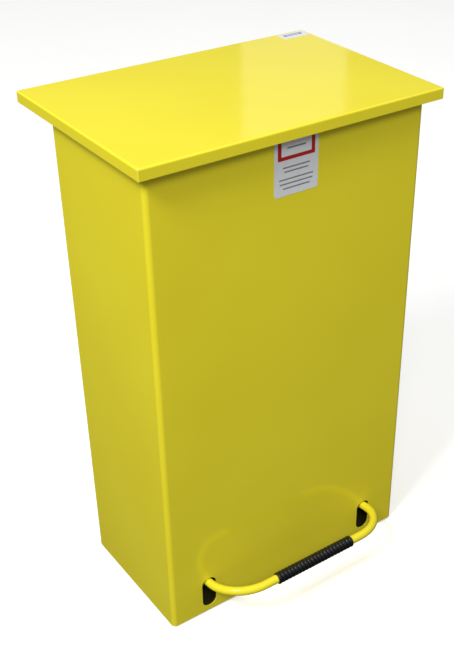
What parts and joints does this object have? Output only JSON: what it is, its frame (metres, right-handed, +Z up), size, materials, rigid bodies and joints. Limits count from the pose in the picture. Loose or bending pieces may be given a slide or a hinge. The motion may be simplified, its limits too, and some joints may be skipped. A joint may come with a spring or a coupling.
{
  "type": "pedal bin",
  "caption": "Tall rectangular sheet-steel pedal bin: a bent foot bar raises a flat overhanging hinged lid through a lift rod behind the body, with a ring inside for a sack.",
  "frame": {"origin": "on the floor, under the middle of the bin's overall width and depth", "axes": "+X to the right seen from the front, -Y out of the front panel, +Z up"},
  "size_m": [0.415, 0.329, 0.6752],
  "materials": {
    "powder_coat": "gloss",
    "zinc_plate": "satin",
    "spring_steel": "satin",
    "black_rubber": "satin",
    "nylon": "matte",
    "label_film": "gloss"
  },
  "bodies": {
    "body": {"body_wrap": "powder_coat", "back_panel": "powder_coat", "base_pan": "powder_coat", "floor_pan": "powder_coat", "feet": "black_rubber", "sack_ring": "zinc_plate", "ring_brackets": "powder_coat", "pivot_bracket_left": "zinc_plate", "pivot_bracket_right": "zinc_plate", "pivot_bushes": "nylon", "bracket_rivets": "zinc_plate", "pedal_stops": "black_rubber", "hinge_bracket_left": "powder_coat", "hinge_bracket_right": "powder_coat", "hinge_rivets": "powder_coat", "hinge_pin": "zinc_plate", "hinge_clips": "spring_steel", "rod_guide_upper": "zinc_plate", "rod_guide_lower": "zinc_plate", "guide_bushes": "nylon", "guide_rivets": "zinc_plate", "mechanism_cover": "powder_coat", "cover_screws": "zinc_plate", "back_rivets": "powder_coat", "front_label": "label_film"},
    "lid": {"lid_shell": "powder_coat", "lid_stiffener": "powder_coat", "lid_lug_left": "powder_coat", "lid_lug_right": "powder_coat", "hinge_bushes": "nylon", "lid_lever": "powder_coat", "lever_pin": "zinc_plate", "lever_clips": "spring_steel", "lid_buffers": "black_rubber", "lid_sticker": "label_film"},
    "pedal": {"pedal_bar": "powder_coat", "pedal_sleeve": "black_rubber", "pedal_shaft": "zinc_plate", "pedal_lever": "zinc_plate"},
    "rod": {"lift_rod": "zinc_plate", "rod_clevis": "zinc_plate", "clevis_pin": "zinc_plate", "clevis_clips": "spring_steel", "rod_head": "zinc_plate"}
  },
  "joints": [
    {"name": "lid_hinge", "type": "hinge", "parent": "body", "child": "lid", "pos_m": [0, 0.1505, 0.656], "axis": [-1, 0, 0], "range_deg": [0, 65]},
    {"name": "pedal_pivot", "type": "hinge", "parent": "body", "child": "pedal", "pos_m": [0, 0.023, 0.03], "axis": [1, 0, 0], "range_deg": [0, 16.51]},
    {"name": "rod_lift", "type": "slide", "parent": "body", "child": "rod", "axis": [0, 0, 1], "range_m": [0, 0.02962]}
  ],
  "couplings": [
    {"joint": "pedal_pivot", "follows": "lid_hinge", "ratio": 0.25385},
    {"joint": "rod_lift", "follows": "lid_hinge", "m_per_rad": 0.026099}
  ]
}
